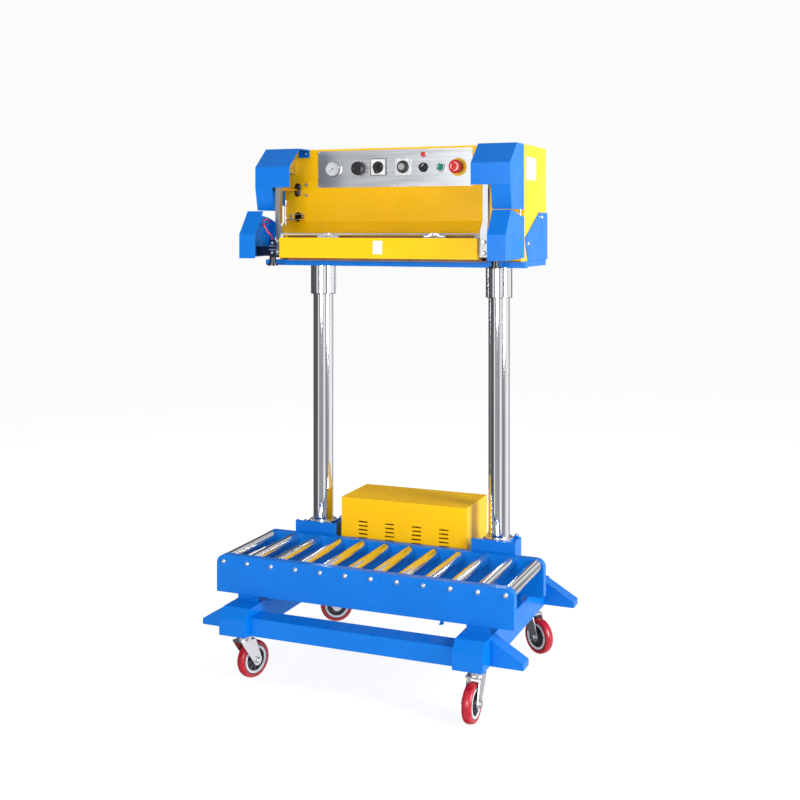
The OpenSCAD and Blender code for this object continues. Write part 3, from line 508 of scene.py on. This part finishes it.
def knurled(shape, r, y0, y1, centre, teeth, depth):
    """A fluted barrel from y0 to y1 in front of the panel."""
    n = teeth * 4
    outline = []
    for k in range(n):
        rr = r - depth * (0.5 - 0.5 * math.cos(2 * math.pi * k / 4))
        a = 2 * math.pi * k / n
        outline.append((centre[0] * MM + rr * math.cos(a), centre[1] * MM + rr * math.sin(a)))
    shape.prism(outline, PF - y1 * MM, PF - y0 * MM)


# Pressure regulator
kx = mid("regulator_knob")[0] / MM
collar = Shape()
collar.lathe([(0.0200, 0), (0.0200, 0.0045), (0.0190, 0.0049), (0, 0.0049)], at(kx, row), OUT, 48)
collar.piece("regulator_collar", MATTE, "head")
reg = Shape()
knurled(reg, 0.0248, 5.4, 22.0, (kx, row), 24, 0.0016)
reg.lathe([(0.0235, 0.0210), (0.0228, 0.0240), (0.0200, 0.0252), (0.0130, 0.0252),
           (0.0120, 0.0240), (0, 0.0238)], at(kx, row), OUT, 64)
reg.piece("regulator_grip", BLACK, "regulator_knob_body", bevel=0.0003, slot="black_plastic",
          replaces=["regulator_knob"])

# Cam switch
cx = mid("cam_switch_handle")[0] / MM
cz = 1754
plate = Shape()
plate.block((cx * MM - 0.029, PF - 0.0045, 1.725), (cx * MM + 0.029, PF, 1.783))
plate.piece("cam_switch_plate", WHITE, "head", bevel=0.0012)
frame_ring = Shape()
for x0, x1, z0, z1 in ((-30, 30, 1782, 1784), (-30, -28, 1726, 1782), (28, 30, 1726, 1782),
                       (-30, 30, 1724, 1726)):
    frame_ring.block((cx * MM + x0 * MM, PF - 0.0055, z0 * MM),
                     (cx * MM + x1 * MM, PF - 0.0044, z1 * MM))
frame_ring.piece("cam_switch_border", MATTE, "head", bevel=0.0002)
seat = Shape()
seat.lathe([(0.0205, 0.004), (0.0205, 0.0068), (0.0190, 0.0078), (0, 0.0078)], at(cx, cz), OUT, 64)
seat.piece("cam_switch_seat", MATTE, "head")
cam = Shape()
cam.lathe([(0, 0.0083), (0.0168, 0.0083), (0.0168, 0.0165), (0.0155, 0.0180), (0, 0.0180)],
          at(cx, cz), OUT, 64)
cam.prism([(cx * MM + x * MM, z * MM) for x, z in
           ((-6.0, 1766.5), (6.0, 1766.5), (6.0, 1733), (3.5, 1730), (-3.5, 1730), (-6.0, 1733))],
          PF - 0.0296, PF - 0.0150)
cam.piece("cam_switch_lever", BLACK, "cam_switch_handle_body", bevel=0.0008,
          slot="black_plastic", replaces=["cam_switch_handle"])

# Timer dial
dx, dz = mid("dial_knob")[0] / MM, 1753
frame_plate = Shape()
frame_plate.block((dx * MM - 0.031, PF - 0.0035, 1.722), (dx * MM + 0.031, PF, 1.784))
frame_plate.piece("dial_plate", STEEL, "head", bevel=0.0008)
ring = Shape()
ring.lathe([(0.0285, 0.003), (0.0285, 0.0042), (0, 0.0042)], at(dx, dz), OUT, 64)
ring.piece("dial_scale", WHITE, "head")
band = Shape()
band.lathe([(0.0225, 0.004), (0.0225, 0.0085), (0.0215, 0.0090), (0, 0.0090)], at(dx, dz), OUT, 64)
band.piece("dial_band", MATTE, "head")
marks = strokes(at(dx, dz, 4.25), 0.0275,
                [(240 - k * 10, 0.0036 if k % 5 == 0 else 0.0020, 0.0003) for k in range(31)])
marks.piece("dial_marks", MATTE, "head")
dial = Shape()
dial.lathe([(0, 0.0094), (0.0178, 0.0094), (0.0178, 0.0125), (0.0165, 0.0133), (0.0120, 0.0133)],
           at(dx, dz), OUT, 64)
knurled(dial, 0.0120, 12.5, 24.0, (dx, dz), 18, 0.0008)
dial.lathe([(0.0112, 0.0238), (0.0105, 0.0250), (0, 0.0250)], at(dx, dz), OUT, 48)
dial.prism([(dx * MM + x * MM, z * MM) for x, z in ((-0.7, dz + 17), (0.7, dz + 17),
                                                    (0.7, dz + 11), (-0.7, dz + 11))],
           PF - 0.0137, PF - 0.0130)
dial.piece("dial_grip", GREY, "dial_knob_body", bevel=0.0002, slot="grey_plastic",
           replaces=["dial_knob"])

rim = Shape()
rim.ringed([(0.0124, 0.0134), (0.0182, 0.0134), (0.0182, 0.0142), (0.0124, 0.0142)],
           at(dx, dz), OUT, 64)
rim.piece("dial_rim", MATTE, "dial_knob_body")

# Selector, with its lamp above
sx, lamp_z = 94, 1796
bezel = Shape()
bezel.lathe([(0.0170, 0), (0.0170, 0.0035), (0.0158, 0.0050), (0, 0.0050)], at(sx, row), OUT, 48)
bezel.piece("selector_bezel", BLACK, "head")
lamp_base = Shape()
lamp_base.lathe([(0.0110, 0), (0.0110, 0.0022), (0.0100, 0.0032), (0.0086, 0.0032)],
                at(sx, lamp_z), OUT, 48)
lamp_base.piece("lamp_bezel", STEEL, "head")
lamp = Shape()
lamp.lathe([(0.0085, 0.001), (0.0085, 0.0048), (0.0072, 0.0063), (0.0045, 0.0072), (0, 0.0075)],
           at(sx, lamp_z), OUT, 48)
lamp.piece("lamp_lens", RED, "head")
sel = Shape()
sel.lathe([(0, 0.0053), (0.0148, 0.0053), (0.0148, 0.0135), (0.0138, 0.0150), (0, 0.0150)],
          at(sx, row), OUT, 48)
turn = math.radians(35)
u, v = Vector((math.sin(turn), 0, math.cos(turn))), Vector((math.cos(turn), 0, -math.sin(turn)))
centre = Vector((sx * MM, 0, row * MM))
sel.prism([((centre + u * a + v * b).x, (centre + u * a + v * b).z) for a, b in
           ((0.0140, 0.0030), (0.0140, -0.0030), (0.0, -0.0042), (-0.0130, -0.0030),
            (-0.0130, 0.0030), (0.0, 0.0042))], PF - 0.0230, PF - 0.0140)
sel.piece("selector_grip", BLACK, "selector_knob_body", bevel=0.0006, slot="black_plastic",
          replaces=["selector_knob"])
mark = Shape()
mark.prism([((centre + u * a + v * b).x, (centre + u * a + v * b).z) for a, b in
            ((0.0132, 0.0011), (0.0132, -0.0011), (0.0020, -0.0011), (0.0020, 0.0011))],
           PF - 0.0233, PF - 0.0228)
mark.piece("selector_mark", WHITE, "selector_knob_body")

# Push button
bx = 158
br = (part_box("start_button")[1][0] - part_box("start_button")[0][0]) / 2
bz = Shape()
bz.ringed([(br + 0.0006, 0), (br + 0.0052, 0), (br + 0.0050, 0.0050), (br + 0.0036, 0.0080),
           (br + 0.0006, 0.0080)], at(bx, row), OUT, 48)
bz.piece("start_bezel", STEEL, "head")
btn = Shape()
btn.lathe([(0, 0.0030), (br - 0.0002, 0.0030), (br - 0.0002, 0.0115), (br - 0.0014, 0.0129),
           (br * 0.6, 0.0122), (0, 0.0119)], at(bx, row), OUT, 48)
btn.piece("start_cap", GREEN, "start_button_body", slot="green_plastic", replaces=["start_button"])

# Emergency stop
ex, ez = 223, 1749
disc = Shape()
disc.lathe([(0.0320, 0), (0.0320, 0.0012), (0.0312, 0.0020), (0.0180, 0.0020)], at(ex, ez), OUT, 64)
disc.piece("stop_disc", AMBER, "head")
neck = Shape()
neck.ringed([(0.0106, 0.0), (0.0185, 0.0), (0.0185, 0.0060), (0.0165, 0.0088), (0.0106, 0.0088)],
            at(ex, ez), OUT, 48)
neck.piece("stop_collar", MATTE, "head")
sr = (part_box("stop_button")[1][0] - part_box("stop_button")[0][0]) / 2
stop = Shape()
stop.lathe([(0, 0.0120), (0.0098, 0.0120), (0.0098, 0.0240), (sr - 0.004, 0.0240),
            (sr - 0.0004, 0.0262), (sr - 0.0002, 0.0320), (sr - 0.0016, 0.0358),
            (sr - 0.0060, 0.0382), (sr * 0.45, 0.0396), (0, 0.0398)], at(ex, ez), OUT, 64)
stop.piece("stop_mushroom", RED, "stop_button_body", slot="red_plastic", replaces=["stop_button"])
arcs = Shape()
for k in range(3):
    steps = 10
    r0, r1 = sr * 0.52, sr * 0.62
    pts = []
    for i in range(steps + 1):
        a = math.radians(120 * k + 20 + 75 * i / steps)
        u = Vector((math.cos(a), 0, math.sin(a)))
        pts += [at(ex, ez, 39.35) + u * r0, at(ex, ez, 39.1) + u * r1,
                at(ex, ez, 39.65) + u * r0, at(ex, ez, 39.4) + u * r1]
    quads = [(0, 1, 3, 2), (4 * steps, 4 * steps + 2, 4 * steps + 3, 4 * steps + 1)]
    for i in range(steps):
        b, c = 4 * i, 4 * i + 4
        quads += [(b, c, c + 1, b + 1), (b + 2, b + 3, c + 3, c + 2),
                  (b, b + 2, c + 2, c), (b + 1, c + 1, c + 3, b + 3)]
    arcs.faces(pts, quads)
arcs.piece("stop_arcs", WHITE, "stop_button_body")


# ---------------------------------------------------------------- head details

hood_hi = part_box("hood_shell")[1]
guard_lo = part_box("jaw_guard")[0]
label = Shape()
label.block((hood_hi[0], HF + 0.029, 1.703), (hood_hi[0] + 0.0004, HF + 0.150, 1.781))
label.piece("side_label", WHITE, "head", bevel=0.0001)
plate = Shape()
plate.block((-0.007, guard_lo[1] - 0.0005, 1.447), (0.027, guard_lo[1], 1.492))
plate.piece("guard_label", WHITE, "jaw", bevel=0.0001)

screws = Shape()
for side in (-1, 1):
    for z in (1694, 1656):
        screws.hexagon((side * 366 * MM, HF - 0.003, z * MM), OUT, 0.0062, 0.0045)
    for y, z in ((HF + 0.2115, 1.574), (HF + 0.036, 1.482)):
        screws.dome((side * (hood_hi[0] + 0.003), y, z), (side, 0, 0), 0.0080, 0.0055)
    screws.dome((side * 0.370, HF - 0.0032, 1.809), OUT, 0.0050, 0.0030)
plo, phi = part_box("control_panel")
for x in (plo[0] + 0.005, (plo[0] + phi[0]) / 2, phi[0] - 0.005):
    for z in (plo[2] + 0.005, phi[2] - 0.006):
        screws.dome((x, PF, z), OUT, 0.0034, 0.0022)
screws.piece("head_bolts", STEEL, "head", slot="brushed_steel", replaces=["head_screws"])
blo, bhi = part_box("hood_back_cover")
back_screws = Shape()
for i in range(5):
    x = blo[0] + 0.012 + (bhi[0] - blo[0] - 0.024) * i / 4
    for z in (blo[2] + 0.010, bhi[2] - 0.010):
        back_screws.dome((x, bhi[1], z), (0, 1, 0), 0.0050, 0.0028)
back_screws.piece("back_screws", STEEL, "head")
edge = Shape()
for x0, x1, z0, z1 in ((plo[0], phi[0], plo[2], plo[2] + 0.0012),
                       (plo[0], phi[0], phi[2] - 0.0012, phi[2]),
                       (plo[0], plo[0] + 0.0012, plo[2], phi[2]),
                       (phi[0] - 0.0012, phi[0], plo[2], phi[2])):
    edge.block((x0, PF - 0.0003, z0), (x1, PF + 0.0002, z1))
edge.piece("panel_edge", STEEL, "head")

slots = Shape()
for side in (-1, 1):
    x = side * 0.404
    for x0, x1, z0, z1, out in ((-30, 26, 1564.5, 1568.5, 42), (-30, 26, 1584.5, 1588.0, 7),
                                (24, 30, 1568.0, 1585.0, 7), (-34, -20, 1564.5, 1588.0, 4)):
        slots.block((x + x0 * MM, HF - out * MM, z0 * MM), (x + x1 * MM, HF - 0.3 * MM, z1 * MM))
    for dx_, z in ((-0.027, 1.5805), (0.0265, 1.5765)):
        slots.hexagon((x + dx_, HF - 0.007, z), OUT, 0.0058, 0.0042)
slots.piece("link_brackets", BRASS, "head", bevel=0.0006)
rods = Shape()
for side in (-1, 1):
    rods.lathe([(0, 0), (0.0028, 0), (0.0028, 0.093), (0, 0.093)],
               (side * 0.4505, HF - 0.010, 1.547), (0, 0, 1), 16)
    rods.hexagon((side * 0.4505, HF - 0.010, 1.547), (0, 0, -1), 0.0055, 0.0042)
rods.piece("link_pins", STEEL, "head")

glands = Shape()
glands.ringed([(0.0062, 0.012), (0.0108, 0.012), (0.0108, 0.0105), (0.0062, 0.0105)],
              (-0.300, HF + 0.281, 1.500), (0, 1, 0), 6)
glands.piece("air_port_nut", BRASS, "head")
clo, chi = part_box("cabinet_cover")
nut = Shape()
nut.ringed([(0.0066, 0.0), (0.0124, 0.0), (0.0124, 0.0095), (0.0112, 0.0105), (0.0066, 0.0105)],
           (0.1825, chi[1] - 0.0107, 0.323), (0, 1, 0), 6)
nut.piece("cable_gland_nut", MATTE, "base")
case_screws = Shape()
for side in (-1, 1):
    for y in (clo[1] + 0.022, (clo[1] + chi[1]) / 2, chi[1] - 0.022):
        case_screws.dome((side * chi[0], y, clo[2] + 0.014), (side, 0, 0), 0.0050, 0.0028)
case_screws.piece("cabinet_screws", STEEL, "base")


# ---------------------------------------------------------------- jaw details

jaw_bolts = Shape()
arm_front = guard_lo[1] + 0.0245
for side in (-1, 1):
    for z in (1452, 1490):
        jaw_bolts.hexagon((side * 0.381, arm_front - 0.0068, z * MM), OUT, 0.0078, 0.0058)
    for z in (1448, 1482):
        jaw_bolts.hexagon((side * 0.408, arm_front + 0.0052, z * MM), OUT, 0.0062, 0.0042)
jaw_bolts.piece("jaw_bolts", STEEL, "jaw")
bands = Shape()
for z in (1457, 1470):
    bands.block((-0.4212, arm_front + 0.0040, z * MM), (-0.3955, arm_front + 0.0058, (z + 4) * MM))
bands.piece("terminal_bands", STEEL, "jaw", bevel=0.0003)
leads = Shape()
route = [(-412, -120, 1494.2), (-412, -120, 1501), (-414, -128, 1511), (-420, -142, 1524),
         (-427, -150, 1542), (-432, -148, 1558), (-432, -136, 1566), (-433, -118, 1566),
         (-438, -98, 1561), (-448, -82, 1555), (-463, -72, 1550), (-474, -68, 1547.5),
         (-481, -68, 1545)]
leads.tube([mm(*p) for p in route], 0.0025)
leads.piece("heater_lead", LEAD, "jaw", slot="red_silicone", replaces=["heater_leads"])
clips = Shape()
rod_lo, rod_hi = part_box("clamp_rod")
rod_y, rod_z = rod_lo[1] + 0.007, rod_hi[2] - 0.004
for x in (-0.179, 0.213):
    clips.lathe([(0, 0), (0.0062, 0), (0.0062, 0.0060), (0.0045, 0.0085), (0, 0.0090)],
                (x, rod_y - 0.0050, rod_z), OUT, 24)
    for s in (-1, 1):
        clips.prism([(x + s * a, rod_z + b) for a, b in
                     ((0.004, -0.0035), (0.022, -0.0085), (0.036, -0.0080), (0.037, -0.0050),
                      (0.022, -0.0035), (0.012, 0.0045), (0.004, 0.0050))],
                    rod_y - 0.0105, rod_y - 0.0075)
clips.piece("clip_wings", STEEL, "jaw", bevel=0.0004)


# ---------------------------------------------------------------- clips under the front beam

beam_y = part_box("table_front_beam")[0][1]
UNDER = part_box("table_front_beam")[1][2] - 0.128
hooks = Shape()
for x in (-0.389, -0.325, 0.290):
    hooks.block((x - 0.006, beam_y + 0.010, UNDER - 0.012),
                (x + 0.006, beam_y + 0.013, UNDER + 0.0005))
    hooks.block((x - 0.006, beam_y - 0.002, UNDER - 0.012),
                (x + 0.006, beam_y + 0.0102, UNDER - 0.009))
hooks.piece("beam_clips", BLUE, "base", bevel=0.0004)


# ---------------------------------------------------------------- column details

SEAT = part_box("column_sockets")[1][2] - 0.014
rings = Shape()
seams = Shape()
for side in (-1, 1):
    lo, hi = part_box("columns")
    x = side * (hi[0] - 0.0375)
    y = (lo[1] + hi[1]) / 2
    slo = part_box("column_sleeves")[0]
    rings.ringed([(0.0376, 0), (0.0500, 0), (0.0500, 0.0018), (0.0485, 0.0030), (0.0376, 0.0030)],
                 (x, y, SEAT + 0.009), (0, 0, 1), 64)
    seams.ringed([(0.0378, 0), (0.0466, 0), (0.0466, 0.0020), (0.0378, 0.0020)],
                 (x, y, slo[2] - 0.0021), (0, 0, 1), 64)
    for dx_ in (-1, 1):
        for dy in (-1, 1):
            rings.lathe([(0, 0), (0.0062, 0), (0.0062, 0.0035), (0.0050, 0.0050), (0, 0.0052)],
                        (x + dx_ * 0.050, y + dy * 0.050, SEAT + 0.009), (0, 0, 1), 24)
rings.piece("socket_rings", ZINC, "base")
seams.piece("wiper_rings", MATTE, "head")


# ---------------------------------------------------------------- stage, light, camera

def area(name, at, to, size, power, col=(1, 1, 1)):
    light = bpy.data.lights.new(name, "AREA")
    light.shape = "RECTANGLE"
    light.size, light.size_y = size
    light.energy = power
    light.color = col
    ob = bpy.data.objects.new(name, light)
    ob.location = at
    ob.rotation_euler = (Vector(to) - Vector(at)).to_track_quat("-Z", "Y").to_euler()
    bpy.context.scene.collection.objects.link(ob)
    return ob


BACKDROP = 0.97
floor_mat = bpy.data.materials.new("floor")
floor_mat.use_nodes = True
fb = floor_mat.node_tree.nodes["Principled BSDF"]
fb.inputs["Base Color"].default_value = (0.25, 0.25, 0.25, 1)
fb.inputs["Roughness"].default_value = 0.9
fb.inputs["Specular IOR Level"].default_value = 0.0
fb.inputs["Emission Color"].default_value = (1, 1, 1, 1)
fb.inputs["Emission Strength"].default_value = 0.84
me = bpy.data.meshes.new("floor")
me.from_pydata([(-60, -60, 0), (60, -60, 0), (60, 60, 0), (-60, 60, 0)], [], [(0, 1, 2, 3)])
me.materials.append(floor_mat)
floor = bpy.data.objects.new("floor", me)
bpy.context.scene.collection.objects.link(floor)
floor.visible_glossy = False

# The studio round the object: dark and bright bands that the chrome mirrors, by compass
# angle in degrees from +X, and a plain pale backdrop for the camera.
BANDS = [(-180, 0.10), (-132, 0.12), (-127, 0.95), (-119, 0.95), (-114, 0.34), (-92, 0.36),
         (-72, 0.30), (-62, 0.90), (-46, 1.0), (-38, 0.22), (-8, 0.36), (8, 1.0), (52, 0.95),
         (60, 0.16), (67, 0.12), (71, 1.0), (79, 0.95), (83, 0.14), (90, 0.30), (94, 1.0),
         (101, 0.90), (105, 0.12), (112, 0.10), (180, 0.10)]
world = bpy.data.worlds.new("studio")
bpy.context.scene.world = world
world.use_nodes = True
wt = world.node_tree
back = wt.nodes["Background"]
coord = wt.nodes.new("ShaderNodeTexCoord")
radial = wt.nodes.new("ShaderNodeTexGradient")
radial.gradient_type = "RADIAL"
wt.links.new(coord.outputs["Generated"], radial.inputs["Vector"])
ramp = wt.nodes.new("ShaderNodeValToRGB")
while len(ramp.color_ramp.elements) < len(BANDS):
    ramp.color_ramp.elements.new(0.5)
for el, (deg, v) in zip(ramp.color_ramp.elements, BANDS):
    el.position = deg / 360 + 0.5
    el.color = (v, v, v * 1.02, 1)
wt.links.new(radial.outputs["Fac"], ramp.inputs["Fac"])
split = wt.nodes.new("ShaderNodeSeparateXYZ")
wt.links.new(coord.outputs["Generated"], split.inputs["Vector"])
lift = wt.nodes.new("ShaderNodeMapRange")
for k, v in (("From Min", 0.55), ("From Max", 0.95), ("To Min", 0.0), ("To Max", 1.0)):
    lift.inputs[k].default_value = v
wt.links.new(split.outputs["Z"], lift.inputs["Value"])
sky = wt.nodes.new("ShaderNodeMix")
sky.data_type = "RGBA"
sky.inputs["B"].default_value = (0.55, 0.56, 0.58, 1)
wt.links.new(lift.outputs["Result"], sky.inputs["Factor"])
wt.links.new(ramp.outputs["Color"], sky.inputs["A"])
path = wt.nodes.new("ShaderNodeLightPath")
seen = wt.nodes.new("ShaderNodeMix")
seen.data_type = "RGBA"
seen.inputs["B"].default_value = (BACKDROP, BACKDROP, BACKDROP, 1)
wt.links.new(path.outputs["Is Camera Ray"], seen.inputs["Factor"])
wt.links.new(sky.outputs["Result"], seen.inputs["A"])
wt.links.new(seen.outputs["Result"], back.inputs["Color"])
back.inputs["Strength"].default_value = 1.0

area("key", (4.2, -1.0, 1.9), (0.2, 0.0, 1.0), (1.4, 2.6), 225)
area("front", (0.2, -5.4, 1.6), (0.0, 0.0, 1.0), (1.8, 1.6), 140)
area("rim", (-3.0, 2.2, 3.2), (0.0, 0.0, 1.2), (1.5, 2.0), 50)

cam_data = bpy.data.cameras.new("camera")
cam_data.lens = 52.65
cam_data.sensor_width = 36
cam_data.shift_y = -0.215
cam_data.clip_end = 200
cam_ob = bpy.data.objects.new("camera", cam_data)
cam_ob.location = (1.5786, -3.7966, 1.5356)
cam_ob.rotation_euler = (math.radians(90), 0, math.radians(22.2))
bpy.context.scene.collection.objects.link(cam_ob)
bpy.context.scene.camera = cam_ob
bpy.context.scene.view_settings.view_transform = "Standard"
